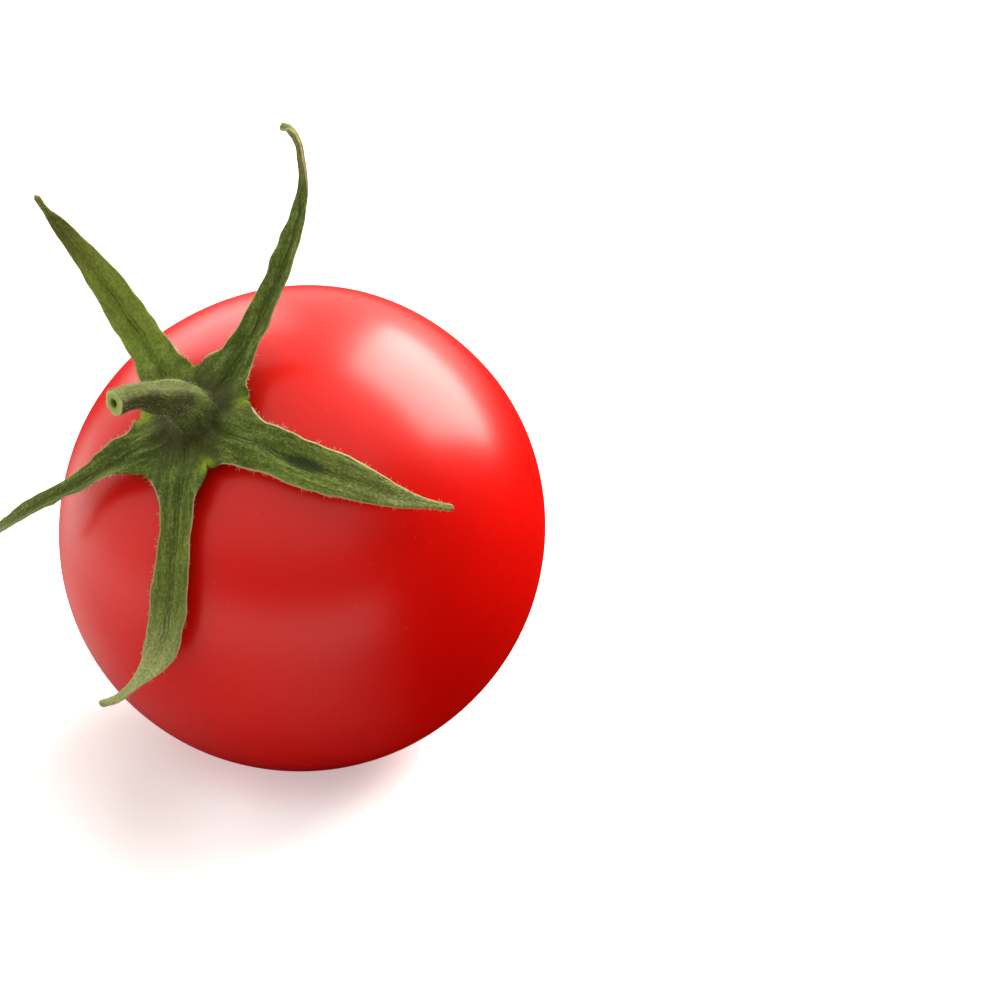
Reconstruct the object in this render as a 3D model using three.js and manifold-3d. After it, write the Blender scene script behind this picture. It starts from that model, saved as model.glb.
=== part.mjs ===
// One ripe cherry tomato with its calyx and a stub of stem, lying as it rolls to rest on a table.
// Millimetres, +Z up, origin in the middle of the patch of skin that it rests on.
import * as THREE from 'three';
import { mergeVertices } from 'three/addons/utils/BufferGeometryUtils.js';
import Module from 'manifold-3d';

const wasm = await Module();
wasm.setup();

// Fruit. Its own frame has the centre as origin and the stem axis along +Z.
const fruitRadius = 19; // at the equator
const fruitHalfHeight = 18.3; // centre to shoulders, before the hollows
const stemHollow = { depth: 1.5, spread: 5 }; // the hollow that the calyx sits in
const blossomHollow = { depth: 0.5, spread: 2.4 }; // the shallow one at the other end
const restDepth = 0.45; // how far the skin is pressed flat where it rests

// How it lies, in degrees: the stem axis leans away from upright, towards a compass turn from +X.
const lean = 38;
const leanTurn = 232;

// Clearances between neighbours
const skinGap = 0.3; // calyx base and sepals above the skin
const rootGap = 0.3; // sepal roots and stem foot from the calyx base
const seamGap = 0.3; // between neighbouring sepals

// Calyx base
const baseRadius = 3.1;
const baseThickness = 1.1; // in the middle
const baseRim = 0.3; // the rim's share of the thickness
const bossHeight = 0.35; // the low swelling under the stem

// Stem
const stemRadius = 1.05;
const stemFlare = 1.25; // times the radius, at the foot and at the cut end
const flareReach = { foot: 0.12, end: 0.09 }; // shares of the stem's length
const pithRadius = 0.3;
const pithDepth = 1.2;

// Sepals
const sepalThickness = 0.6; // at the midrib
const edgeThinning = 0.4; // share of the thickness that the edges lack
const sepalFold = 0.22; // rise of the edges, for each millimetre from the midrib

// The stem's centre line above the calyx base: across to +X, across to +Y, up
const stemPoints = [
  [0.2, 0.1, 0], [0.5, 0.1, 1.2], [0.3, 0.1, 2.4], [-0.6, 0, 3.7], [-1.8, -0.5, 5], [-2.9, -1.5, 6.1],
];

// Each sepal starts at the turn of its root, at the edge of the calyx base, with this rise and width.
// Its other stations are [distance along the skin, turn, rise off the skin, width].
const sepals = [
  {
    name: 'sepal_upper_left', root: { turn: 117, rise: 0.3, width: 4.2 },
    stations: [
      [6.4, 112.5, 1.6, 3.1], [7.8, 111.5, 4, 2.9], [8.3, 110.5, 7.2, 2.4],
      [8.3, 110.5, 10.3, 1.6], [8, 110.5, 13.3, 1], [7.6, 110, 16, 0.4],
    ],
  },
  {
    name: 'sepal_left', root: { turn: 198, rise: 0.6, width: 4.4 },
    stations: [
      [5.6, 195.5, 0.8, 3], [9, 191, 0.7, 1.9], [12.6, 187, 1.7, 1.5],
      [15.5, 185.5, 3.2, 1.3], [17, 184.5, 4, 0.9], [19, 181, 4.5, 0.4],
    ],
  },
  {
    name: 'sepal_lower', root: { turn: 258, rise: 0.6, width: 4.4 },
    stations: [
      [5.6, 256, 0.5, 3.2], [8, 255, 0.3, 2.5], [10.5, 253, 0.3, 2.7], [13.2, 250.5, 0.3, 3],
      [16.3, 247.5, 0.6, 2.5], [18.6, 241.5, 1.4, 1.5], [20, 236.5, 2.6, 0.8], [21, 231, 3.3, 0.4],
    ],
  },
  {
    name: 'sepal_right', root: { turn: 320, rise: 0.6, width: 4.4 },
    stations: [
      [6.5, 322, 0.5, 3.6], [10, 324, 0.3, 3.5], [12.8, 326.5, 0.4, 3],
      [16, 328, 0.5, 2.1], [18.4, 330, 0.7, 1.1], [20.2, 332, 1, 0.4],
    ],
  },
  {
    name: 'sepal_upper_right', root: { turn: 43, rise: 0.3, width: 4.4 },
    stations: [
      [6.3, 42.5, 1.1, 2.7], [9, 42, 3.3, 2.2], [10.8, 42, 6.5, 2.3],
      [11.9, 43, 9.9, 1.2], [12, 45, 13, 0.8], [11.9, 47.5, 14.6, 0.6], [11.7, 50.5, 15, 0.4],
    ],
  },
];

// Mesh fineness
const fruitSides = 52;
const fruitRows = 28;
const baseSides = 30;
const baseRows = 6;
const stemSides = 12;
const pithSides = 8;
const stemRows = 14;
const sepalRows = 16;
const sepalColumns = 4; // across the width

const radians = THREE.MathUtils.degToRad;
const restCentre = Math.hypot(
  fruitRadius * Math.sin(radians(lean)), fruitHalfHeight * Math.cos(radians(lean)),
) - restDepth;
const leanAxis = new THREE.Vector3(-Math.sin(radians(leanTurn)), Math.cos(radians(leanTurn)), 0);
const lying = new THREE.Quaternion().setFromAxisAngle(leanAxis, radians(lean));

const skinMaterial = new THREE.MeshStandardMaterial({ color: '#c8201a', roughness: 0.22, metalness: 0 });
const baseMaterial = new THREE.MeshStandardMaterial({ color: '#46592c', roughness: 0.7, metalness: 0 });
const stemMaterial = new THREE.MeshStandardMaterial({ color: '#6d8a48', roughness: 0.65, metalness: 0 });
const sepalMaterial = new THREE.MeshStandardMaterial({ color: '#54703a', roughness: 0.6, metalness: 0 });

function toSolid(geometry) {
  const bare = geometry.clone().deleteAttribute('normal').deleteAttribute('uv');
  const merged = mergeVertices(bare, 1e-4);
  return new wasm.Manifold(new wasm.Mesh({
    numProp: 3,
    vertProperties: new Float32Array(merged.attributes.position.array),
    triVerts: new Uint32Array(merged.index.array),
  }));
}

function toGeometry(solid) {
  const { vertProperties, triVerts } = solid.getMesh();
  const geometry = new THREE.BufferGeometry();
  geometry.setAttribute('position', new THREE.BufferAttribute(vertProperties, 3));
  geometry.setIndex(new THREE.BufferAttribute(triVerts, 1));
  return geometry;
}

function named(name, geometry, material) {
  geometry.computeVertexNormals();
  const mesh = new THREE.Mesh(geometry, material);
  mesh.name = name;
  return mesh;
}

// A closed solid through rings of points, each ring counter-clockwise as seen looking back from its end.
function loft(rings) {
  const count = rings[0].length;
  const points = rings.flat();
  const middle = (ring) => ring.reduce((sum, p) => sum.add(p), new THREE.Vector3()).divideScalar(count);
  points.push(middle(rings[0]), middle(rings.at(-1)));
  const [first, last] = [points.length - 2, points.length - 1];
  const lastRing = (rings.length - 1) * count;
  const faces = [];
  for (let i = 0; i < count; i += 1) {
    const next = (i + 1) % count;
    for (let row = 0; row < lastRing; row += count) {
      faces.push(row + i, row + next, row + count + next, row + i, row + count + next, row + count + i);
    }
    faces.push(first, next, i, last, lastRing + i, lastRing + next);
  }
  const geometry = new THREE.BufferGeometry().setFromPoints(points);
  geometry.setIndex(faces);
  return geometry;
}

function hollowAt(hollow, across) {
  return hollow.depth * Math.exp(-((across / hollow.spread) ** 2));
}

// The skin's profile, at an angle from the stem axis: x is across and y is up, with lift off the skin.
function skinProfile(angle, lift = 0) {
  const across = fruitRadius * Math.sin(angle);
  const dip = Math.cos(angle) > 0 ? hollowAt(stemHollow, across) : -hollowAt(blossomHollow, across);
  return new THREE.Vector2(
    Math.max(across + lift * Math.sin(angle), 0),
    fruitHalfHeight * Math.cos(angle) - dip + lift * Math.cos(angle),
  );
}

function revolved(profile, sides) {
  return new THREE.LatheGeometry(profile, sides).rotateX(Math.PI / 2);
}

function makeFruit() {
  const profile = Array.from(
    { length: fruitRows + 1 }, (_, row) => skinProfile(Math.PI * (1 - row / fruitRows)),
  );
  const body = revolved(profile, fruitSides).applyQuaternion(lying).translate(0, 0, restCentre);
  const below = new THREE.BoxGeometry(4 * fruitRadius, 4 * fruitRadius, fruitRadius);
  below.translate(0, 0, -fruitRadius / 2);
  return toGeometry(toSolid(body).subtract(toSolid(below)));
}

// The calyx base is a thin saucer that follows the hollow, with a rounded rim and a boss under the stem.
function baseTop(across) {
  const fullness = Math.sqrt(Math.max(1 - (across / baseRadius) ** 4, 0));
  const under = skinProfile(Math.asin(across / fruitRadius), skinGap).y;
  const boss = bossHeight * Math.exp(-((across / (1.5 * stemRadius)) ** 2));
  return under + (baseThickness + boss) * (baseRim + (1 - baseRim) * fullness);
}

function makeBase() {
  const rimAngle = Math.asin(baseRadius / fruitRadius);
  const profile = [];
  for (let row = 0; row <= baseRows; row += 1) {
    profile.push(skinProfile((row / baseRows) * rimAngle, skinGap));
  }
  for (let row = baseRows; row >= 0; row -= 1) {
    const across = baseRadius * Math.sin(((row / baseRows) * Math.PI) / 2);
    profile.push(new THREE.Vector2(across, baseTop(across)));
  }
  return revolved(profile, baseSides);
}

function stemWidening(share) {
  const atFoot = Math.exp(-((share / flareReach.foot) ** 2));
  const atEnd = Math.exp(-(((1 - share) / flareReach.end) ** 2));
  return 1 + (stemFlare - 1) * (atFoot + atEnd);
}

function makeStem() {
  const foot = baseTop(0) + rootGap;
  const path = new THREE.CatmullRomCurve3(
    stemPoints.map(([x, y, up]) => new THREE.Vector3(x, y, foot + up)),
  );
  const upright = new THREE.Vector3(0, 0, 1); // the foot stands square on the base
  const rings = Array.from({ length: stemRows + 1 }, (_, row) => {
    const share = row / stemRows;
    const centre = path.getPointAt(share);
    const ahead = row === 0 ? upright : path.getTangentAt(share);
    const side = new THREE.Vector3(0, 1, 0).cross(ahead).normalize();
    const front = ahead.clone().cross(side);
    const radius = stemRadius * stemWidening(share);
    return Array.from({ length: stemSides }, (__, corner) => {
      const turn = (2 * Math.PI * corner) / stemSides;
      return centre.clone()
        .addScaledVector(side, radius * Math.cos(turn))
        .addScaledVector(front, radius * Math.sin(turn));
    });
  });
  const end = path.getPointAt(1);
  const pith = new THREE.CylinderGeometry(pithRadius, pithRadius, 2 * pithDepth, pithSides)
    .applyQuaternion(
      new THREE.Quaternion().setFromUnitVectors(new THREE.Vector3(0, 1, 0), path.getTangentAt(1)),
    )
    .translate(end.x, end.y, end.z);
  return toGeometry(toSolid(loft(rings)).subtract(toSolid(pith)));
}

// A point over the skin, from a distance along it, a turn about the stem axis and a lift off it
function overSkin(distance, turn, lift) {
  const { x, y } = skinProfile(distance / fruitRadius, lift);
  return new THREE.Vector3(x * Math.cos(radians(turn)), x * Math.sin(radians(turn)), y);
}

// Neighbouring sepals meet halfway between the turns of their roots.
function spaceBeside(index, step) {
  const here = sepals[index].root.turn;
  const there = sepals.at((index + step) % sepals.length).root.turn;
  const between = THREE.MathUtils.euclideanModulo(step * (there - here), 360);
  return Math.tan(radians(between / 2));
}

// A sepal's centre line and width, at a share of the way from its root to its tip
function sepalLine({ root, stations }) {
  const all = [[baseRadius + rootGap, root.turn, root.rise, root.width], ...stations];
  const places = new THREE.CatmullRomCurve3(
    all.map(([distance, turn, rise]) => new THREE.Vector3(distance, turn, rise)), false, 'catmullrom',
  );
  const widths = new THREE.SplineCurve(all.map(([, , , width], i) => new THREE.Vector2(i, width)));
  return {
    centreAt(share) {
      const { x: distance, y: turn, z: rise } = places.getPoint(THREE.MathUtils.clamp(share, 0, 1));
      return overSkin(distance, turn, skinGap + sepalThickness / 2 + rise);
    },
    halfWidthAt: (share) => widths.getPoint(share).y / 2,
  };
}

function makeSepal(index) {
  const line = sepalLine(sepals[index]);
  const nearby = 0.01; // share of the length, to find the line's direction
  const rings = Array.from({ length: sepalRows + 1 }, (_, row) => {
    const share = row / sepalRows;
    const centre = line.centreAt(share);
    const ahead = line.centreAt(share + nearby).sub(line.centreAt(share - nearby)).normalize();
    const around = new THREE.Vector3(-centre.y, centre.x, 0).normalize();
    const left = around.addScaledVector(ahead, -around.dot(ahead)).normalize();
    const up = ahead.clone().cross(left);
    const half = line.halfWidthAt(share);
    const room = (step) => Math.hypot(centre.x, centre.y) * spaceBeside(index, step) - seamGap / 2;
    const [toLeft, toRight] = [1, -1].map((step) => Math.min(half, room(step)));
    const face = (side) => Array.from({ length: sepalColumns + 1 }, (__, column) => {
      const place = (2 * column) / sepalColumns - 1; // from -1 at the right edge to 1 at the left
      const out = place * (place > 0 ? toLeft : toRight);
      const thickness = sepalThickness * Math.min(1, half) * (1 - edgeThinning * place * place);
      return centre.clone().addScaledVector(left, out)
        .addScaledVector(up, sepalFold * Math.abs(out) + (side * thickness) / 2);
    });
    return [...face(-1), ...face(1).reverse()];
  });
  return loft(rings);
}

const group = new THREE.Group();
group.add(named('fruit', makeFruit(), skinMaterial));

const calyx = new THREE.Group();
calyx.quaternion.copy(lying);
calyx.position.z = restCentre;
calyx.add(named('calyx_base', makeBase(), baseMaterial));
calyx.add(named('stem', makeStem(), stemMaterial));
sepals.forEach((sepal, index) => calyx.add(named(sepal.name, makeSepal(index), sepalMaterial)));
group.add(calyx);

export default group;
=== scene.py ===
import math
import random

import bpy
import numpy as np
from mathutils import Matrix, Vector, noise


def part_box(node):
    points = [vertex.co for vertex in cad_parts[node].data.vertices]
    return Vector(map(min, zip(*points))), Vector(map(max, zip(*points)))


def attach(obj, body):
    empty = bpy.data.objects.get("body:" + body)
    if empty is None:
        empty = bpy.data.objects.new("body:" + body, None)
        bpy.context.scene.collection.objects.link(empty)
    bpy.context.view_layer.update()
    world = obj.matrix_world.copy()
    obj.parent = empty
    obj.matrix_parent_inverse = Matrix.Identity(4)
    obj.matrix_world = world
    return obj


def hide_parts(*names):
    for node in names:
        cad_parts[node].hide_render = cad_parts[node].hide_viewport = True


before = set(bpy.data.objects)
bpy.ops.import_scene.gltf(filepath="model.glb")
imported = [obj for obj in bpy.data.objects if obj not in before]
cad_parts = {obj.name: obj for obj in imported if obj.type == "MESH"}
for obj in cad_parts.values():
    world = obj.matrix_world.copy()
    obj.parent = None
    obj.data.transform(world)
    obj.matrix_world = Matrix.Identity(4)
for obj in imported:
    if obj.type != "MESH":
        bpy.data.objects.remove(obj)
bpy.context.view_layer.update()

mm = 0.001  # the tables below are in millimetres

print("tomato: frame loaded")


class Wire:  # one socket's output, so that shader maths can be written as Python
    def __init__(self, tree, socket):
        self.tree = tree
        self.socket = socket

    def maths(self, operation, *values):
        return self.tree.node("ShaderNodeMath", {"operation": operation}, dict(enumerate(values)))

    def __add__(self, other):
        return self.maths("ADD", self, other)

    def __radd__(self, other):
        return self.maths("ADD", other, self)

    def __sub__(self, other):
        return self.maths("SUBTRACT", self, other)

    def __rsub__(self, other):
        return self.maths("SUBTRACT", other, self)

    def __mul__(self, other):
        return self.maths("MULTIPLY", self, other)

    def __rmul__(self, other):
        return self.maths("MULTIPLY", other, self)

    def __pow__(self, other):
        return self.maths("POWER", self, other)

    def __abs__(self):
        return self.maths("ABSOLUTE", self)

    def ramp(self, low, high):  # 0 below low, 1 above high, smooth between
        return self.tree.node("ShaderNodeMapRange", {"interpolation_type": "SMOOTHSTEP"},
                              {"Value": self, "From Min": low, "From Max": high})


class Tree:  # a material's or the world's nodes, emptied first
    def __init__(self, nodeTree):
        nodeTree.nodes.clear()
        self.nodes, self.links = nodeTree.nodes, nodeTree.links

    def node(self, kind, settings=None, inputs=None, out=0):  # settings first, then values or links
        made = self.nodes.new(kind)
        for name, value in (settings or {}).items():
            setattr(made, name, value)
        for name, value in (inputs or {}).items():
            if isinstance(value, Wire):
                self.links.new(value.socket, made.inputs[name])
            else:
                made.inputs[name].default_value = value
        return Wire(self, made.outputs[out]) if made.outputs else made

    def mix(self, share, low, high, blend="MIX"):  # colours
        return self.node("ShaderNodeMix", {"data_type": "RGBA", "blend_type": blend},
                         {0: share, 6: low, 7: high}, out=2)

    def attribute(self, name, out=2):  # out 1 for a vector
        return self.node("ShaderNodeAttribute", {"attribute_name": name}, out=out)

    def split(self, vector, axis):
        return self.node("ShaderNodeSeparateXYZ", None, {0: vector}, out=axis)

    def scaled(self, vector, factors):
        return self.node("ShaderNodeVectorMath", {"operation": "MULTIPLY"}, {0: vector, 1: factors})

    def noise(self, vector, scale, detail=2.0, rough=0.5):
        return self.node("ShaderNodeTexNoise", None,
                         {"Vector": vector, "Scale": scale, "Detail": detail, "Roughness": rough})

    def place(self):  # millimetres in the row frame
        spot = self.node("ShaderNodeTexCoord", out=3)
        return self.scaled(spot, (1 / mm, 1 / mm, 1 / mm))

    def bump(self, height, depth, strength=1.0):
        return self.node("ShaderNodeBump", None,
                         {"Height": height, "Distance": depth * mm, "Strength": strength})


def colour(red, green, blue):
    return (red, green, blue, 1.0)


def newMaterial(name, build, constants):
    made = bpy.data.materials.new(name)
    made.use_nodes = True
    tree = Tree(made.node_tree)
    shader = tree.node("ShaderNodeBsdfPrincipled", None, {**constants, **build(tree)})
    tree.node("ShaderNodeOutputMaterial", None, {"Surface": shader})
    return made


def smoothstep(value, low, high):
    share = np.clip((value - low) / (high - low), 0, 1)
    return share * share * (3 - 2 * share)


def bell(value, spread):
    return math.exp(-(value / spread) ** 2)


def catmullRom(points, share):  # the same even curve as the CAD pieces follow
    spot = min(max(share, 0.0), 1.0) * (len(points) - 1)
    index = min(int(spot), len(points) - 2)
    t = spot - index
    a, b = points[index], points[index + 1]
    before = points[index - 1] if index else 2 * a - b
    after = points[index + 2] if index + 2 < len(points) else 2 * b - a
    return a + 0.5 * t * (b - before + t * (2 * before - 5 * a + 4 * b - after
                                            + t * (3 * (a - b) + after - before)))


def newPiece(name, points, faces, material, floats=None, blade=None):  # floats and blade: one for each point
    mesh = bpy.data.meshes.new(name)
    mesh.from_pydata([tuple(point) for point in points], [], faces)
    for key, values in (floats or {}).items():
        layer = mesh.attributes.new(key, "FLOAT", "POINT")
        layer.data.foreach_set("value", np.asarray(values, np.float32))
    if blade:
        layer = mesh.attributes.new("blade", "FLOAT_VECTOR", "POINT")
        layer.data.foreach_set("vector", np.asarray(blade, np.float32).ravel())
    mesh.shade_smooth()
    mesh.update()
    piece = bpy.data.objects.new(name, mesh)
    bpy.context.scene.collection.objects.link(piece)
    mesh.materials.append(material)
    return piece


def loftFaces(rings, count):  # quads between rings of points, and one face over each end
    faces = []
    for row in range(rings - 1):
        for i in range(count):
            j = (i + 1) % count
            faces.append((row * count + i, row * count + j, (row + 1) * count + j, (row + 1) * count + i))
    faces.append(tuple(reversed(range(count))))
    faces.append(tuple(range((rings - 1) * count, rings * count)))
    return faces


# The fruit's own frame is the CAD's: its centre is the origin, and the stem axis is +Z
fruit = {
    "radius": 19, "halfHeight": 18.3,
    "stemHollow": (1.5, 5), "blossomHollow": (0.5, 2.4),  # depth and spread
    "restDepth": 0.45, "lean": 38, "leanTurn": 232,
}
leanAxis = Vector((-math.sin(math.radians(fruit["leanTurn"])), math.cos(math.radians(fruit["leanTurn"])), 0))
lying = Matrix.Rotation(math.radians(fruit["lean"]), 3, leanAxis)
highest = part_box("fruit")[1]
fruitTop = math.hypot(fruit["radius"] * math.sin(math.radians(fruit["lean"])),
                      fruit["halfHeight"] * math.cos(math.radians(fruit["lean"])))
fruitCentre = Vector((0, 0, highest.z - fruitTop * mm))


def toRow(point):  # from the fruit's frame in millimetres to the row frame in metres
    return lying @ (Vector(point) * mm) + fruitCentre


def skinProfile(angle, lift=0.0):  # across and up, at an angle from the stem axis
    across = fruit["radius"] * math.sin(angle)
    depth, spread = fruit["stemHollow"] if math.cos(angle) > 0 else fruit["blossomHollow"]
    dip = math.copysign(depth, math.cos(angle)) * bell(across, spread)
    return across + lift * math.sin(angle), (fruit["halfHeight"] + lift) * math.cos(angle) - dip


def overSkin(distance, turn, lift):
    across, up = skinProfile(distance / fruit["radius"], lift)
    return Vector((across * math.cos(math.radians(turn)), across * math.sin(math.radians(turn)), up))


# One smooth berry, faintly lobed at the shoulders and pressed flat where it rests
skinLook = {
    "red": (0.650, 0.0006, 0.0006), "deepRed": (0.57, 0.000, 0.001), "litWarmRed": (0.67, 0.005, 0.0005),
    "speck": (0.80, 0.20, 0.03), "scar": (0.16, 0.07, 0.02),
    "roughness": 0.285, "scarRoughness": 0.4, "speckScale": 1.5, "specks": 0.2,
    "sides": 320, "rows": 200, "lobes": 5, "lobeDepth": 0.10, "lobeTurn": 0.6,
    "unevenness": 0.07, "unevenScale": 1.3, "unevenPlace": (4.1, 0.3, 7.7),
    "scarRadius": 0.9, "scarRagged": 0.35,
    "pressedCurve": 0.25,  # the pressed patch meets the round skin in a curve this high
}


def buildSkin(tree):
    spot = tree.place()
    fromStem = tree.attribute("fromStem")
    cloud = tree.noise(spot, 0.09, 3.0, 0.55)
    body = tree.mix(cloud.ramp(0.35, 0.7), colour(*skinLook["red"]), colour(*skinLook["deepRed"]))
    # painted light: a warmer, lighter red towards the stem end, which faces up to the light
    body = tree.mix((1 - fromStem.ramp(0.1, 0.9)) * 0.75, body, colour(*skinLook["litWarmRed"]))
    cells = tree.node("ShaderNodeTexVoronoi", {"feature": "F1"},
                      {"Vector": spot, "Scale": skinLook["speckScale"], "Randomness": 1.0})
    speckHere = tree.noise(spot, 0.55, 2.0).ramp(0.48, 0.62)  # fine dots, in loose groups
    specks = (1 - cells.ramp(0.05, 0.15)) * speckHere * skinLook["specks"]
    body = tree.mix(specks, body, colour(*skinLook["speck"]))
    scar = tree.attribute("scar")
    body = tree.mix(scar, body, colour(*skinLook["scar"]))
    waxy = tree.noise(spot, 7.0, 3.0, 0.6)
    return {
        "Base Color": body,
        "Roughness": skinLook["roughness"] + waxy * 0.04 + scar * skinLook["scarRoughness"],
        "Normal": tree.bump(waxy + specks * 0.4, 0.008, 0.12),
    }


skinMaterial = newMaterial("tomatoSkin", buildSkin, {
    "IOR": 1.40, "Subsurface Weight": 0.12, "Subsurface Radius": (1.0, 0.12, 0.05),
    "Subsurface Scale": 2.2 * mm, "Coat Weight": 0.06, "Coat Roughness": 0.12, "Coat IOR": 1.4,
})


def makeFruit():
    sides, rows = skinLook["sides"], skinLook["rows"]
    soft = skinLook["pressedCurve"] * mm
    pressed = fruit["restDepth"] * mm
    points, fromStem, scar = [], [], []
    for row in range(rows + 1):  # from the stem end, which has one point, to the blossom end
        angle = math.pi * row / rows
        across, up = skinProfile(angle)
        shoulder = math.sin(angle) ** 2 * max(math.cos(angle), 0) ** 0.5
        for side in range(sides if 0 < row < rows else 1):
            turn = 2 * math.pi * side / sides
            sideways = math.sin(angle)
            outward = Vector((sideways * math.cos(turn), sideways * math.sin(turn), math.cos(angle)))
            lobe = shoulder * math.cos(skinLook["lobes"] * turn + skinLook["lobeTurn"])
            swell = skinLook["lobeDepth"] * lobe + skinLook["unevenness"] * noise.noise(
                outward * skinLook["unevenScale"] + Vector(skinLook["unevenPlace"]))
            spot = toRow(Vector((across * math.cos(turn), across * math.sin(turn), up)) + outward * swell)
            if spot.z < soft:
                spot.z = soft * max(1 + (spot.z - soft) / (soft + pressed), 0) ** (1 + pressed / soft)
            points.append(spot)
            fromStem.append(angle / math.pi)
            around = Vector((math.cos(turn) * 2, math.sin(turn) * 2, 3))
            ragged = skinLook["scarRadius"] * (1 + skinLook["scarRagged"] * noise.noise(around))
            scar.append((1 - smoothstep(across, ragged * 0.7, ragged * 1.3)) * (angle > math.pi / 2))
    first = 1  # the first full row starts after the stem end's point
    faces = [(0, first + side, first + (side + 1) % sides) for side in range(sides)]
    for row in range(rows - 2):
        for side in range(sides):
            a, b = first + row * sides + side, first + row * sides + (side + 1) % sides
            faces.append((a, a + sides, b + sides, b))
    last = len(points) - 1
    end = last - sides
    faces += [(last, end + (side + 1) % sides, end + side) for side in range(sides)]
    piece = newPiece("tomato_fruit", points, faces, skinMaterial, {"fromStem": fromStem, "scar": scar})
    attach(piece, "root")
    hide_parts("fruit")


makeFruit()
print("tomato: fruit made")


# What the sepals, the stem and the disc under them share, as in the CAD
calyx = {
    "gap": 0.3, "cadThickness": 0.6,  # how far the CAD centre lines stand off the skin
    "heart": 0.9, "heartRise": 0.95,  # the blades run in to the heart, under the stem
    "baseRadius": 3.1, "baseThickness": 1.1, "bossHeight": 0.35, "rootGap": 0.3,
}

# Stations outwards from the edge of the calyx base: distance along the skin, turn, rise off the skin, width.
# Each sepal's first number is painted light: how much lighter and yellower its green is drawn, where it is
# lit. Pale is how pale the tip is, and a darker patch is given by its place and spread.
sepals = [
    {"name": "sepal_upper_left", "paintedLight": 1.3, "fold": 0.30, "twist": (0, 0, 4, 8), "pale": 0.15, "seed": 11,
     "stations": [
        (3.4, 117, 0.3, 3.6), (6.4, 112.5, 1.6, 3.1), (7.8, 111.5, 4, 2.9), (8.3, 110.5, 7.2, 2.4),
        (8.3, 110.5, 10.3, 1.7), (8, 110.5, 13.2, 1.05), (7.85, 110.6, 14.5, 0.55), (7.6, 110, 16, 0.5)]},
    {"name": "sepal_left", "paintedLight": 0.15, "fold": 0.62, "twist": (0, 0, 0, 0), "pale": 0.45, "seed": 23,
     "stations": [
        (3.4, 198, 0.6, 3.4), (5.6, 195.5, 0.8, 2.6), (9, 191, 0.7, 1.9), (12.6, 187, 1.7, 1.5),
        (15.5, 185.5, 3.2, 1.3), (17, 184.5, 4, 0.9), (19, 181, 4.5, 0.4)]},
    {"name": "sepal_lower", "paintedLight": 0.25, "fold": 0.22, "twist": (0, 0, -6, -14), "pale": 1.7, "seed": 37,
     "stations": [
        (3.4, 258, 0.6, 3.8), (5.6, 256, 0.5, 3.2), (8, 255, 0.3, 2.5), (10.5, 253, 0.3, 2.7),
        (13.2, 250.5, 0.3, 3), (15.6, 248, 0.5, 2.8), (17.4, 244.6, 0.8, 2.4), (18.9, 240.6, 1.7, 1.05),
        (20, 236.5, 2.9, 0.65), (21, 231, 3.3, 0.6)]},
    {"name": "sepal_right", "paintedLight": 0.22, "fold": 0.16, "twist": (0, 0, 0, 0), "pale": 0.5, "seed": 41,
     "darkPatch": (9.7, 0.05, 1.7, 0.62), "stations": [
        (3.4, 320, 0.6, 4.0), (6.5, 322, 0.5, 3.6), (10, 324, 0.3, 3.5), (12.8, 326.5, 0.4, 3),
        (16, 328.3, 0.5, 1.8), (18.4, 330.6, 0.8, 0.75), (20.2, 332.4, 1.3, 0.5)]},
    {"name": "sepal_upper_right", "paintedLight": 0.12, "fold": 0.48, "twist": (0, 0, 0, 0), "pale": 0.5, "seed": 53,
     "stations": [
        (3.4, 43, 0.3, 3.5), (6.3, 42.8, 1.1, 2.7), (9, 43, 3.3, 2.3), (10.8, 43.3, 6.5, 2.1),
        (11.9, 44.5, 9.9, 1.15), (12, 46.1, 13, 0.5), (12, 47.2, 14.1, 0.55), (11.9, 48.6, 14.8, 0.7),
        (11.7, 50.4, 15, 0.65)]},
]

# Where each sepal above parts from the next: distance along the skin, turn, how far and how steeply the
# edges narrow from there, and how yellow the blade is in the corner
notches = [(4.4, 160, 1.7, 2, 0.8), (5.5, 219, 2.4, 2, 0.1), (4.45, 283, 1.8, 2, 1),
           (4.4, 1.5, 2.6, 1.6, 0.8), (4.4, 84, 3.2, 1.3, 0.1)]

bladeShape = {
    "rows": 180, "crowding": 1.25, "columns": 28,  # the rows crowd towards the root
    "thickness": 0.34, "edge": 0.14,  # thickness at the midrib, and the edge's share of it
    "groove": 0.1, "grooveWidth": 0.2, "keel": 0.2,  # along the midrib, above and below
    "vein": 0.03, "veinSpacing": 0.55, "ribFade": 0.75,  # midrib and veins fade towards the tip
    "rollFrom": 0.62, "roll": 0.9,  # where a blade is narrower than this, it rolls up and turns rounder
    "wave": 0.16, "waveLength": 3.1, "ragged": 0.07,
    "crumple": 0.14, "crumpleMore": 1.8, "crumpleAt": 5, "crumpleSpread": 2.2,  # most of it near the root
    "seamOverlap": 0.05, "notchRound": 0.3, "fuseWidth": 1.3,  # where a blade grows into its neighbours
    "roundFrom": 0.982,  # the tip is rounded from here on
}

leafLook = {
    "dark": (0.045, 0.062, 0.005), "mid": (0.117, 0.169, 0.018), "light": (0.208, 0.274, 0.060),
    "paleTip": (0.41, 0.47, 0.165), "grooveShadeOlive": (0.044, 0.045, 0.008), "heart": (0.050, 0.053, 0.010),
    "rim": (0.52, 0.43, 0.22), "notch": (0.26, 0.36, 0.012), "dryTip": (0.23, 0.15, 0.07),
    "ribHalf": 0.16, "litGreen": (0.240, 0.320, 0.042), "darkPatch": (0.028, 0.042, 0.006),
    "grainLow": (0.60, 0.63, 0.60), "grainHigh": (1.20, 1.20, 1.32),  # multiply the green
}


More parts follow.
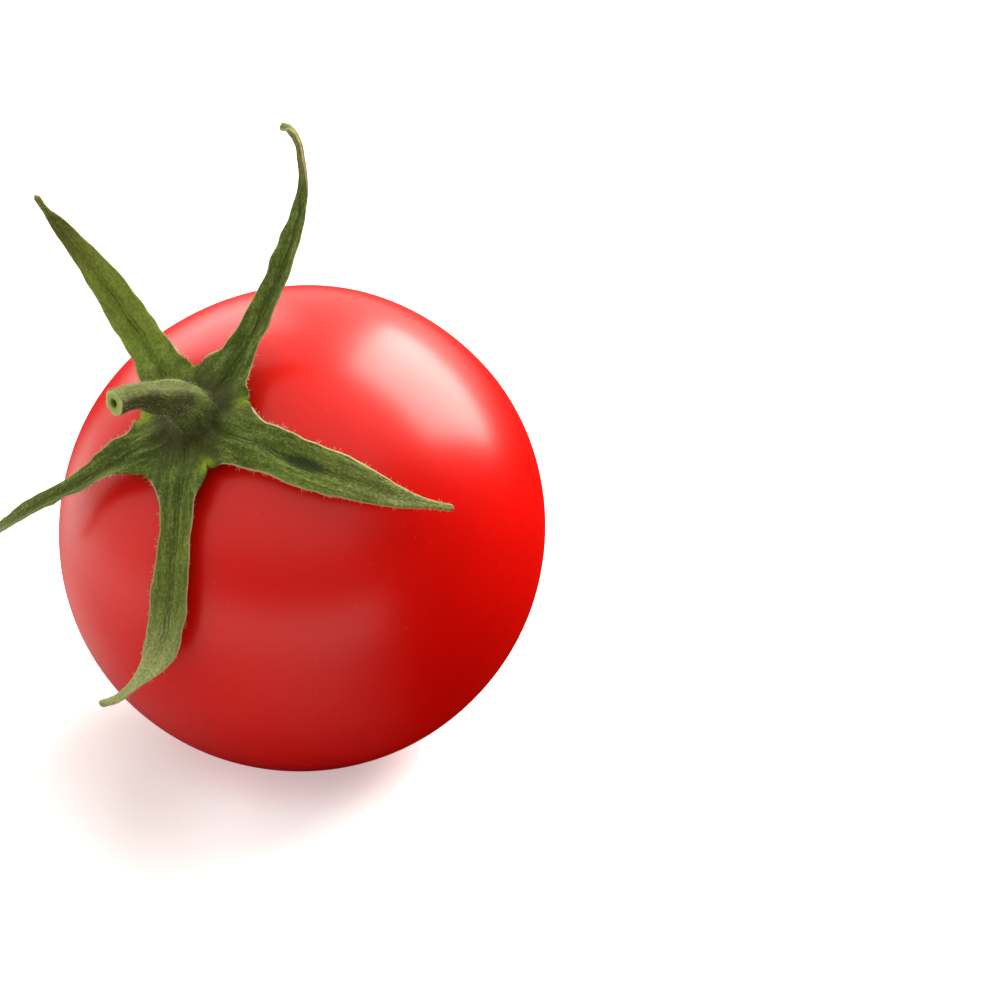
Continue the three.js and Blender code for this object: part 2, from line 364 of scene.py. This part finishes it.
def buildLeaf(tree):
    blade = tree.attribute("blade", 1)  # millimetres across and along, and the seed
    across, along = tree.split(blade, 0), tree.split(blade, 1)
    edge = tree.attribute("edge")
    tip = tree.attribute("tip")
    spot = tree.place()
    streaks = tree.noise(tree.scaled(blade, (2.4, 0.34, 1)), 1.0, 4.0, 0.68)  # drawn out along the blade
    fineStreaks = tree.noise(tree.scaled(blade, (8.0, 2.0, 1)), 1.0, 3.0, 0.6)
    blotches = tree.noise(spot, 0.5, 4.0, 0.65)
    fuzz = tree.noise(spot, 5.0, 4.0, 0.7)
    pale = tree.attribute("pale")
    paintedLight = tree.attribute("paintedLight")
    mottle = (streaks * 0.45 + blotches * 0.4 + fineStreaks * 0.2).ramp(0.34, 0.72)
    green = tree.mix(mottle, colour(*leafLook["dark"]), colour(*leafLook["mid"]))
    flecks = (streaks * 0.5 + fuzz * 0.6 + fineStreaks * 0.2).ramp(0.62, 0.9)
    green = tree.mix(flecks, green, colour(*leafLook["light"]))
    # painted light: lighter, yellower green on the sepals drawn as more brightly lit, most away from the root
    litGreen = paintedLight * (0.4 + blotches * 1.1) * (0.3 + along.ramp(5, 11) * 0.7) * (1 - tip.ramp(0.45, 0.8) * 0.9)
    green = tree.mix(litGreen, green, colour(*leafLook["litGreen"]))
    green = tree.mix(pale * tip.ramp(0.42, 1.0) * (0.55 + fuzz * 0.7), green, colour(*leafLook["paleTip"]))
    # painted shade: two dark olive lines in the grooves beside the midrib, fading towards the tip
    ribWander = (blotches - 0.5) * 0.6
    beside = abs(abs(across + ribWander) - (blotches + 0.3) * leafLook["ribHalf"])  # flanks the midrib
    grooveShade = (1 - beside.ramp(0.01, 0.14)) * (1 - tip.ramp(0.45, 0.9)) * (1 - paintedLight * 0.25)
    grooveShade = grooveShade * (streaks * 0.6 + blotches * 0.4).ramp(0.36, 0.6)
    green = tree.mix(grooveShade * 0.85, green, colour(*leafLook["grooveShadeOlive"]))
    # a darker patch on one sepal, at the given place and spread
    patchShare = (tree.attribute("darkPatch") + (blotches - 0.5) * 0.5).ramp(0.22, 0.75) * 0.9
    green = tree.mix(patchShare, green, colour(*leafLook["darkPatch"]))
    # painted shade: darker round the heart, where the stem's foot and the sepal roots shade it
    heart = (1 - (along + blotches * 2.6).ramp(3.5, 6.2)) * (0.5 + fuzz * 0.8)
    green = tree.mix(heart, green, colour(*leafLook["heart"]))
    grain = (fuzz * 0.75 + fineStreaks * 0.35 + streaks * 0.2).ramp(0.45, 0.85)
    grain = tree.mix(grain, colour(*leafLook["grainLow"]), colour(*leafLook["grainHigh"]))
    green = tree.mix(1.0, green, grain, "MULTIPLY")
    green = tree.mix(tree.attribute("notch") * blotches.ramp(0.35, 0.6), green, colour(*leafLook["notch"]))
    green = tree.mix(tip.ramp(0.94, 1.0) * 0.5, green, colour(*leafLook["dryTip"]))
    green = tree.mix(edge.ramp(0.9, 1.0) * (0.45 + fuzz * 0.7), green, colour(*leafLook["rim"]))
    relief = streaks * 0.55 + fineStreaks * 0.3 + fuzz * 0.45 - grooveShade * 0.3
    return {
        "Base Color": green,
        "Roughness": 0.5 + fuzz * 0.3,
        "Normal": tree.bump(relief, 0.22, 0.95),
    }


leafMaterial = newMaterial("sepalLeaf", buildLeaf, {
    "IOR": 1.36, "Subsurface Weight": 0.08, "Subsurface Radius": (0.5, 1.0, 0.2),
    "Subsurface Scale": 0.3 * mm, "Specular IOR Level": 0.32,
})
hairColours = {"leafRoot": (0.38, 0.36, 0.17), "leafEnd": (0.88, 0.78, 0.62),
               "stemRoot": (0.15, 0.19, 0.06), "stemEnd": (0.66, 0.70, 0.44)}


def buildHair(tree, root, end):  # each hair pales towards its end
    share = tree.attribute("hairShare")
    return {"Base Color": tree.mix(share, colour(*root), colour(*end)), "Roughness": 0.5 + share * 0.1}


def buildLeafHair(tree):
    return buildHair(tree, hairColours["leafRoot"], hairColours["leafEnd"])


def buildStemHair(tree):
    return buildHair(tree, hairColours["stemRoot"], hairColours["stemEnd"])


hairMaterial = newMaterial("paleHair", buildLeafHair, {"IOR": 1.45, "Specular IOR Level": 0.3})
downMaterial = newMaterial("stemDown", buildStemHair, {"IOR": 1.45, "Specular IOR Level": 0.3})


def stationsOf(sepal):
    heart = (calyx["heart"], sepal["stations"][0][1], calyx["heartRise"], 2 * calyx["heart"])
    return np.array([heart] + sepal["stations"], float)


def riseOf(sepal, distance):  # near the root, where the distance only grows
    stations = stationsOf(sepal)
    line = [catmullRom(stations, share) for share in np.linspace(0, 2.6 / (len(stations) - 1), 30)]
    return float(np.interp(distance, [p[0] for p in line], [p[2] for p in line]))


def lineLift(rise):
    return calyx["gap"] + calyx["cadThickness"] / 2 + rise


cupDistances = [0.4 * step for step in range(18)]
cupRises = [sum(riseOf(sepal, distance) for sepal in sepals) / len(sepals) for distance in cupDistances]


def cupHeight(spot):  # the shared surface that neighbours meet in, above a place in the fruit's frame
    across = math.hypot(spot.x, spot.y)
    distance = fruit["radius"] * math.asin(min(across / fruit["radius"], 1))
    rise = float(np.interp(distance, cupDistances, cupRises))
    return skinProfile(distance / fruit["radius"], lineLift(rise))[1]


def smoothMin(a, b, width):
    share = min(max(0.5 + 0.5 * (b - a) / width, 0), 1)
    return b * (1 - share) + a * share - width * share * (1 - share)


def seedOf(sepal):
    return Vector((sepal["seed"], 1.7 * sepal["seed"], 0))


def midribAt(stations, share):
    distance, turn, rise, width = catmullRom(stations, share)
    return overSkin(distance, turn, lineLift(rise))


def midribFrame(sepal, stations, share):  # a spot on the midrib, and ahead, left and up from it
    centre = midribAt(stations, share)
    ahead = (midribAt(stations, share + 0.006) - midribAt(stations, share - 0.006)).normalized()
    around = Vector((-centre.y, centre.x, 0)).normalized()
    left = (around - ahead * around.dot(ahead)).normalized()
    twist = math.radians(float(np.interp(share, (0, 0.33, 0.67, 1), sepal["twist"])))
    left = Matrix.Rotation(twist, 3, ahead) @ left
    return centre, ahead, left, ahead.cross(left)


def edgeReach(index, step, share, distance, centre, half):  # to one side: reach, how fused, how yellow
    shape, sepal = bladeShape, sepals[index]
    rootTurn, rootHalf = sepal["stations"][0][1], sepal["stations"][0][3] / 2
    notchDistance, notchTurn, notchReach, steepness, yellow = notches[index if step > 0 else index - 1]
    between = math.radians((step * (notchTurn - rootTurn)) % 360)
    room = math.hypot(centre.x, centre.y) * math.tan(between)  # to the line shared with the neighbour
    past = distance - notchDistance * math.cos(between)
    web = (notchDistance * math.sin(between) - rootHalf) * max(1 - past / notchReach, 0) ** steepness
    uneven = shape["ragged"] * noise.noise(seedOf(sepal) + Vector((share * 22, step * 5, 0)))
    outline = half * (1 + uneven * float(smoothstep(past, 0, 3))) + web
    fused = 1 - float(smoothstep(room - outline, 0.0, shape["fuseWidth"]))
    reach = smoothMin(outline, room + shape["seamOverlap"], shape["notchRound"])
    return reach, fused, yellow * bell(past + 0.25, 0.55)


def bladeHeight(sepal, share, distance, rise, half, thin, place, out, free):  # fold, waves, groove and veins
    shape, seed = bladeShape, seedOf(sepal)
    height = sepal["fold"] * abs(out) * free * min(1, share * 3)
    waveSpot = Vector((distance + rise * 0.8, 0, math.copysign(4, place)))
    waveSpot *= 2 / shape["waveLength"]
    height += shape["wave"] * abs(place) ** 3 * free * min(half, 1) * noise.noise(seed + waveSpot)
    crumple = shape["crumple"] * (1 + shape["crumpleMore"] * bell(
        distance - shape["crumpleAt"], shape["crumpleSpread"]))
    crumpleSpot = Vector(((distance + rise) * 0.55, out * 0.9, 2))
    height += crumple * min(half, 1) * free * noise.noise(seed + crumpleSpot)
    ribFade = 1 - shape["ribFade"] * float(smoothstep(share, 0.3, 0.8))
    height -= shape["groove"] * bell(out, shape["grooveWidth"]) * thin * ribFade
    veins = math.cos(2 * math.pi * out / shape["veinSpacing"])
    return height + shape["vein"] * veins * thin * free * ribFade


def makeSepal(index):
    sepal, shape = sepals[index], bladeShape
    stations = stationsOf(sepal)
    rows, columns = shape["rows"], shape["columns"]
    patchAt, patchAside, patchLong, patchWide = sepal.get("darkPatch", (0, 0, 0.01, 0.01))
    points, blades, hairRoots = [], [], []
    floats = {"edge": [], "tip": [], "notch": [], "darkPatch": []}
    for row in range(rows + 1):
        share = (row / rows) ** shape["crowding"]
        distance, turn, rise, width = catmullRom(stations, share)
        centre, ahead, left, up = midribFrame(sepal, stations, share)
        half = width / 2
        reaches = {step: edgeReach(index, step, share, distance, centre, half) for step in (1, -1)}
        blunt = math.sqrt(1 - min(max((share - shape["roundFrom"]) / (1 - shape["roundFrom"]), 0), 0.98) ** 2)
        thin = min(1, 0.25 + 0.75 * half)
        rolled = max(shape["rollFrom"] - half, 0) * shape["roll"]
        for side in (1, -1):  # the upper face, then back along the lower face
            for column in range(columns + 1):
                place = side * (2 * column / columns - 1)
                reach, fused, corner = reaches[1 if place > 0 else -1]
                out = place * reach * blunt
                free = 1 - fused * place * place
                height = bladeHeight(sepal, share, distance, rise, half, thin, place, out, free)
                thinning = (1 - shape["edge"]) * (1 - fused) * abs(place) ** 4
                thickness = shape["thickness"] * thin * (1 - thinning)
                thickness = (thickness + rolled * math.sqrt(max(1 - place * place, 0.02))) * blunt
                lift = thickness / 2
                if side < 0:
                    keel = shape["keel"] * bell(out, shape["grooveWidth"] * 1.4)
                    lift = -lift - keel * thin * blunt
                spot = centre + left * out + up * (height + lift)
                shared = fused * float(smoothstep(abs(place), 0.25, 0.95))
                spot.z += (cupHeight(spot) + lift - spot.z) * shared
                points.append(toRow(spot))
                floats["edge"].append(abs(place) * (1 - fused))
                floats["tip"].append(share)
                floats["notch"].append(float(smoothstep(abs(place), 0.65, 0.95)) * corner)
                patchShare = bell(distance - patchAt, patchLong) * bell(out - patchAside, patchWide)
                floats["darkPatch"].append(patchShare)
                blades.append((out, distance + rise * 0.9, sepal["seed"]))
                if side > 0:
                    outward = left * math.copysign(1, place)
                    hairRoots.append((spot, up, outward, ahead, abs(place), fused, share))
    for key in ("pale", "paintedLight"):
        floats[key] = [sepal[key]] * len(points)
    # these rings run the other way round, so their faces are turned over
    faces = [tuple(reversed(face)) for face in loftFaces(rows + 1, 2 * (columns + 1))]
    piece = newPiece(sepal["name"] + "_leaf", points, faces, leafMaterial, floats, blades)
    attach(piece, "root")
    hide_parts(sepal["name"])
    return hairRoots


# Pale hairs, each a slim bent cone
hairShape = {
    "edgeLength": (0.14, 0.42), "faceLength": (0.1, 0.24), "edgeRadius": 0.019, "faceRadius": 0.011,
    "edgeChance": 0.62, "faceChance": 0.014, "sides": 3, "joints": 3, "taper": 0.8, "seed": 5,
}


def makeHairs(name, roots, material):  # roots: place, direction, bend direction, length, radius
    sides, joints = hairShape["sides"], hairShape["joints"]
    points, faces, shares = [], [], []
    for place, direction, bend, length, footRadius in roots:
        first = len(points)
        direction = direction.normalized()
        side = direction.orthogonal().normalized()
        other = direction.cross(side)
        for joint in range(joints):
            t = joint / joints
            middle = place + direction * (length * t) + bend * (length * t * t * 0.5)
            radius = footRadius * (1 - t * hairShape["taper"])
            for corner in range(sides):
                angle = 2 * math.pi * corner / sides
                points.append(toRow(middle + (side * math.cos(angle) + other * math.sin(angle)) * radius))
                shares.append(t)
        points.append(toRow(place + direction * length + bend * (length * 0.5)))
        shares.append(1)
        for joint in range(joints - 1):
            for corner in range(sides):
                a, b = first + joint * sides + corner, first + joint * sides + (corner + 1) % sides
                faces.append((a, b, b + sides, a + sides))
        top = first + joints * sides
        for corner in range(sides):
            faces.append((top - sides + corner, top - sides + (corner + 1) % sides, top))
        faces.append(tuple(first + corner for corner in reversed(range(sides))))
    piece = newPiece(name, points, faces, material, {"hairShare": shares})
    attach(piece, "root")


def leafHairs(sepal, roots, chance):
    picked = []
    for place, up, outward, ahead, across, fused, share in roots:
        atEdge = across > 0.97 and fused < 0.3 and share > 0.08
        patch = 0.5 + 1.1 * noise.noise(Vector(place) * 0.7)
        kept = hairShape["edgeChance"] * max(patch, 0.1) if atEdge else hairShape["faceChance"]
        if chance.random() > kept:
            continue
        lengths = hairShape["edgeLength" if atEdge else "faceLength"]
        lean = ahead * chance.uniform(-0.3, 0.7)
        if atEdge:
            direction = outward * 0.9 + up * chance.uniform(-0.5, 0.5) + lean
        else:
            direction = up + outward * 0.3 + lean
        bend = Vector((chance.uniform(-1, 1), chance.uniform(-1, 1), chance.uniform(-1, 1))) * 0.5
        radius = hairShape["edgeRadius" if atEdge else "faceRadius"]
        picked.append((place, direction, bend, chance.uniform(*lengths) * (1 - 0.4 * share), radius))
    makeHairs(sepal["name"] + "_hairs", picked, hairMaterial)


chance = random.Random(hairShape["seed"])
for index, sepal in enumerate(sepals):
    leafHairs(sepal, makeSepal(index), chance)
print("tomato: sepals made")


# A short bent stub, ridged and downy, cut straight across with its pith hollow
stem = {
    # the line is two places across and one up from the foot, the radii are shares of its length and radii
    "line": [(0.1, 0.1, -1.3), (0.2, 0.1, 0), (0.4, 0.05, 1.3), (0.15, -0.05, 2.7),
             (-0.75, -0.45, 4), (-1.5, -0.8, 5.35), (-2.5, -1.75, 6.6)],
    "radii": [(0, 2.9), (0.07, 2.3), (0.15, 1.9), (0.26, 1.62), (0.4, 1.45), (0.55, 1.24), (0.7, 1.07),
              (0.82, 0.93), (0.93, 0.86), (1, 0.93)],
    "rows": 150, "columns": 48, "ridges": 6, "ridgeDepth": 0.06, "lumps": 0.12,
    "pithRadius": 0.27, "pithDepth": 1.2, "rimRound": 0.07,
    "hairs": 1700, "hairLength": (0.1, 0.38), "hairRadius": 0.012, "hairsFrom": 0.27,
    "dark": (0.036, 0.045, 0.010), "mid": (0.090, 0.118, 0.020), "light": (0.165, 0.205, 0.052),
    "band": (0.13, 0.20, 0.01),  # a greener band round the bend
    "cut": (0.30, 0.37, 0.07), "cutRim": (0.44, 0.50, 0.20), "pith": (0.12, 0.17, 0.01),
}
stemFoot = (fruit["halfHeight"] - fruit["stemHollow"][0] + calyx["gap"] + calyx["baseThickness"]
            + calyx["bossHeight"] + calyx["rootGap"])


def buildStem(tree):
    spot = tree.place()
    along = tree.attribute("along")
    cut = tree.attribute("cutFace")
    across = tree.attribute("across")
    up = tree.attribute("skyward")
    wrapped = tree.attribute("blade", 1)
    streaks = tree.noise(tree.scaled(wrapped, (3.6, 0.9, 1)), 1.0, 4.0, 0.65)
    fuzz = tree.noise(spot, 4.0, 5.0, 0.75)
    # painted light: the stem's upper, sky-facing side is drawn lighter, mixed with its streaks and down
    green = tree.mix((streaks * 0.7 + up * 0.3 + fuzz * 0.45).ramp(0.45, 0.9),
                     colour(*stem["dark"]), colour(*stem["mid"]))
    downAndLitTop = (fuzz * 0.8 + up * 0.26 + streaks * 0.6).ramp(0.76, 1.02)
    green = tree.mix(downAndLitTop, green, colour(*stem["light"]))
    # painted shade where the stem's foot sinks into the heart
    green = tree.mix((1 - (along + fuzz * 0.15).ramp(0.14, 0.3)) * 0.85, green, colour(*leafLook["heart"]))
    knuckle = along.ramp(0.26, 0.36) * (1 - along.ramp(0.36, 0.5)) * streaks.ramp(0.3, 0.7)
    green = tree.mix(knuckle * 0.8, green, colour(*stem["band"]))
    face = tree.mix(across.ramp(0.32, 0.5), colour(*stem["pith"]), colour(*stem["cut"]))
    face = tree.mix(across.ramp(0.62, 0.92) * (0.5 + fuzz * 0.6), face, colour(*stem["cutRim"]))
    return {
        "Base Color": tree.mix(cut, green, face),
        "Roughness": 0.6 - cut * 0.22 + fuzz * 0.12,
        "Normal": tree.bump(streaks * 0.6 + fuzz * 0.6, 0.22, 0.9),
    }


stemMaterial = newMaterial("downyStem", buildStem, {
    "IOR": 1.36, "Subsurface Weight": 0.06, "Subsurface Radius": (0.5, 1.0, 0.2),
    "Subsurface Scale": 0.3 * mm, "Specular IOR Level": 0.3,
    "Sheen Weight": 0.05, "Sheen Roughness": 0.5, "Sheen Tint": colour(0.9, 0.97, 0.6),
})


def stemFrames():  # a spot and three directions for each row, without twist from one to the next
    line = np.array(stem["line"], float)
    frames = []
    side = Vector((1, 0, 0))
    for row in range(stem["rows"] + 1):
        share = row / stem["rows"]
        spot = Vector(catmullRom(line, share))
        ahead = Vector(catmullRom(line, min(share + 0.01, 1)))
        ahead -= Vector(catmullRom(line, max(share - 0.01, 0)))
        ahead.normalize()
        side = (side - ahead * side.dot(ahead)).normalized()
        frames.append((spot + Vector((0, 0, stemFoot)), side.copy(), ahead.cross(side), ahead))
    return frames


def makeStem(chance):
    rows, columns = stem["rows"], stem["columns"]
    points, blades, roots = [], [], []
    floats = {"along": [], "cutFace": [], "across": [], "skyward": []}
    sky = lying.inverted() @ Vector((0, 0, 1))
    shares, radii = zip(*stem["radii"])

    def ring(middle, side, other, radius, share, cut, swell=1.0):
        for column in range(columns):
            angle = 2 * math.pi * column / columns
            outward = side * math.cos(angle) + other * math.sin(angle)
            ridge = stem["ridgeDepth"] * math.cos(stem["ridges"] * angle + 2.2 * share)
            lumpSpot = Vector((math.cos(angle) * 1.2, math.sin(angle) * 1.2, share * 6))
            lump = stem["lumps"] * noise.noise(lumpSpot)
            reach = radius * (1 + (ridge + lump) * swell)
            spot = middle + outward * reach
            points.append(toRow(spot))
            floats["along"].append(share)
            floats["cutFace"].append(cut)
            floats["across"].append(reach / radii[-1] if cut else 1)
            floats["skyward"].append(max(outward.dot(sky), 0))
            blades.append((angle * 1.2, share * 8.4, 3))
            if not cut and share > stem["hairsFrom"]:
                roots.append((spot, outward))

    frames = stemFrames()
    for row, (middle, side, other, ahead) in enumerate(frames):
        share = row / rows
        ring(middle, side, other, float(np.interp(share, shares, radii)), share, 0)
    middle, side, other, ahead = frames[-1]
    rim, hole = stem["rimRound"], stem["pithRadius"]
    # the cut face and the pith hole: radius, and how far past the end
    faceRings = [(radii[-1] - rim * 0.3, rim * 0.7), (radii[-1] - rim, rim)]
    for t in (0.2, 0.4, 0.6, 0.8, 0.93):
        faceRings.append((radii[-1] * (1 - t) + hole * t, rim + 0.06 * math.sin(math.pi * t)))
    faceRings += [(hole, rim - 0.04), (hole * 0.9, -0.2), (hole * 0.85, -0.7)]
    faceRings += [(hole * 0.7, -stem["pithDepth"]), (hole * 0.2, -stem["pithDepth"] - 0.1)]
    for radius, depth in faceRings:
        ring(middle + ahead * depth, side, other, radius, 1, 1, swell=radius / radii[-1])
    faces = loftFaces(rows + 1 + len(faceRings), columns)
    piece = newPiece("stem_stub", points, faces, stemMaterial, floats, blades)
    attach(piece, "root")
    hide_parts("stem")
    hairs = []
    for place, outward in chance.sample(roots, stem["hairs"]):
        direction = outward + Vector([chance.uniform(-0.5, 0.5) for axis in range(3)])
        bend = Vector([chance.uniform(-0.5, 0.5) for axis in range(3)])
        length = chance.uniform(*stem["hairLength"]) * chance.uniform(0.4, 1)
        hairs.append((place, direction, bend, length, stem["hairRadius"]))
    makeHairs("stem_down", hairs, downMaterial)


makeStem(chance)
print("tomato: stem made")


# The fleshy disc under the blades, seated in the hollow
basePiece = {
    "rows": 26, "columns": 96, "dark": (0.045, 0.062, 0.018), "light": (0.12, 0.17, 0.04),
    "fullness": 0.45, "middle": 0.15,  # how square the rim is, and the radius of the closing faces
    "seat": 0.12, "topRise": 0.55,  # off the skin below, and above the CAD's gap
    "lobes": 5, "lobeDepth": 0.05, "lobeTurn": 0.8, "unevenness": 0.03,
}


def buildBase(tree):
    fuzz = tree.noise(tree.place(), 3.0, 4.0, 0.7)
    return {
        "Base Color": tree.mix(fuzz.ramp(0.35, 0.7), colour(*basePiece["dark"]), colour(*basePiece["light"])),
        "Roughness": 0.5 + fuzz * 0.25,
        "Normal": tree.bump(fuzz, 0.12, 0.7),
    }


baseMaterial = newMaterial("calyxFlesh", buildBase, {
    "IOR": 1.42, "Sheen Weight": 0.2, "Sheen Roughness": 0.5, "Sheen Tint": colour(0.85, 0.95, 0.6)})


def makeBase():
    rows, columns = basePiece["rows"], basePiece["columns"]
    profile = []  # from the middle of the underside, round the rim, to the middle of the top
    for row in range(rows + 1):
        share = row / rows
        swing = math.pi * (share - 0.5)
        across = max(calyx["baseRadius"] * math.cos(swing) ** basePiece["fullness"], basePiece["middle"])
        thick = 0.5 * (1 + math.sin(swing))
        low = skinProfile(across / fruit["radius"], basePiece["seat"])[1]
        high = skinProfile(across / fruit["radius"], calyx["gap"])[1] + basePiece["topRise"]
        profile.append((across, low + (high - low) * thick))
    points = []
    for across, up in profile:
        for column in range(columns):
            turn = 2 * math.pi * column / columns
            wavy = 1 + basePiece["lobeDepth"] * math.cos(basePiece["lobes"] * turn + basePiece["lobeTurn"])
            wavy += basePiece["unevenness"] * noise.noise(Vector((math.cos(turn), math.sin(turn), 9)))
            points.append(toRow(Vector((across * wavy * math.cos(turn), across * wavy * math.sin(turn), up))))
    piece = newPiece("calyx_disc", points, loftFaces(rows + 1, columns), baseMaterial)
    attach(piece, "root")
    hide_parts("calyx_base")


makeBase()
print("tomato: calyx base made")


# Floor, light and camera. The bounce colours are what the floor is to the object alone: painted reflection
# and bounce light, red under the fruit and dark red to its right.
studio = {
    "floorSize": 6, "floor": (0.88, 0.88, 0.88), "floorGlow": (0.50, 0.49, 0.49), "leftShade": 0.7,
    "floorNear": (0.88, 0.74, 0.74), "glowNear": (0.48, 0.385, 0.39),  # red light under the fruit
    "bounceLeft": (0.48, 0.38, 0.38), "bounceFar": (0.78, 0.78, 0.78),
    "bounceUnder": (0.70, 0.10, 0.11), "bounceRight": (0.24, 0.004, 0.001),
    "sky": 1.1, "darkFront": 0.85, "darkRight": 1.0, "skyTint": (1, 0.97, 0.91),
    # name, turn from +X, height and roll in degrees, distance and size in metres, power in watts, colour
    "lights": [
        ("windowBox", 42, 37, 26, 0.55, 0.44, 8.1, (1, 0.94, 0.86)),
        ("backBox", 120, 28, 0, 0.90, 0.60, 2.6, (1, 1, 1)),
    ],
    "lens": 100, "elevation": 30,  # camera, and then where it stands from the fruit's centre
    "distance": 216.3, "aside": 15.34, "above": 2.18,
}


def buildFloor(tree):  # pale paper to the camera, and its own bounce colours to the object
    seen = tree.node("ShaderNodeLightPath", out=0)
    across, along = tree.split(tree.place(), 0), tree.split(tree.place(), 1)
    aside = across * 0.77 + along * 0.64
    away = (across * across + along * along) ** 0.5
    bounce = tree.mix(away.ramp(8, 24), colour(*studio["bounceUnder"]), colour(*studio["bounceLeft"]))
    bounce = tree.mix(away.ramp(40, 90), bounce, colour(*studio["bounceFar"]))
    # painted reflection: to the object, the floor to the right is dark red, as if red fruit lay beside it
    bounce = tree.mix(aside.ramp(-26, 5), bounce, colour(*studio["bounceRight"]))
    far = away.ramp(8, 14)
    shade = (0 - across).ramp(4, 14) * (1 - away.ramp(16, 30)) * studio["leftShade"]
    paper = tree.mix(far, colour(*studio["floorNear"]), colour(*studio["floor"]))
    paper = tree.mix(seen, bounce, paper)
    glow = tree.mix(far, colour(*studio["glowNear"]), colour(*studio["floorGlow"]))
    glow = tree.mix(shade, glow, colour(0, 0, 0))
    glow = tree.mix(seen, colour(0, 0, 0), glow)
    return {"Base Color": paper, "Roughness": 0.9, "Emission Color": glow}


def makeStudio():
    half = studio["floorSize"] / 2
    corners = [(-half, -half, 0), (half, -half, 0), (half, half, 0), (-half, half, 0)]
    floor = newPiece("studioFloor", corners, [(0, 1, 2, 3)], newMaterial("paleFloor", buildFloor, {
        "Emission Strength": 1.0, "Specular IOR Level": 0.0}))
    world = bpy.data.worlds.new("studioWorld")  # plain white to the camera, shaded to the object
    bpy.context.scene.world = world
    world.use_nodes = True
    tree = Tree(world.node_tree)
    ray = tree.node("ShaderNodeTexCoord", out=0)
    height = tree.split(ray, 2)
    front = (0 - tree.split(ray, 1)).ramp(0.3, 0.9) * (1 - height.ramp(0.2, 0.6)) * studio["darkFront"]
    right = tree.split(ray, 0).ramp(0.3, 0.7) * (1 - height.ramp(0.6, 1.0)) * studio["darkRight"]
    level = (1 - front) * (1 - right) * studio["sky"]
    seen = tree.node("ShaderNodeLightPath", out=0)
    strength = seen + (1 - seen) * level
    tint = tree.mix(seen, colour(*studio["skyTint"]), colour(1, 1, 1))
    sky = tree.node("ShaderNodeBackground", None, {"Color": tint, "Strength": strength})
    tree.node("ShaderNodeOutputWorld", None, {"Surface": sky})
    for name, turn, height, roll, distance, size, power, tint in studio["lights"]:
        light = bpy.data.lights.new(name, "AREA")
        light.shape, light.size, light.energy, light.color = "SQUARE", size, power, tint
        placed = bpy.data.objects.new(name, light)
        turn, height = math.radians(turn), math.radians(height)
        away = Matrix.Rotation(turn, 3, "Z") @ Vector((math.cos(height), 0, math.sin(height)))
        placed.location = fruitCentre + away * distance
        facing = away.to_track_quat("Z", "Y").to_matrix() @ Matrix.Rotation(math.radians(roll), 3, "Z")
        placed.rotation_euler = facing.to_euler()
        bpy.context.scene.collection.objects.link(placed)


def makeCamera():
    camera = bpy.data.objects.new("camera", bpy.data.cameras.new("camera"))
    bpy.context.scene.collection.objects.link(camera)
    bpy.context.scene.camera = camera
    camera.data.lens = studio["lens"]
    camera.data.clip_start, camera.data.clip_end = 0.01, 20
    rise = math.radians(studio["elevation"])
    up = Vector((0, math.sin(rise), math.cos(rise)))
    back = Vector((0, -math.cos(rise), math.sin(rise)))
    offset = Vector((1, 0, 0)) * studio["aside"] + up * studio["above"] + back * studio["distance"]
    camera.location = fruitCentre + offset * mm
    camera.rotation_euler = (math.pi / 2 - rise, 0, 0)


makeStudio()
makeCamera()
bpy.context.scene.view_settings.view_transform = "Standard"
print("tomato: studio set")
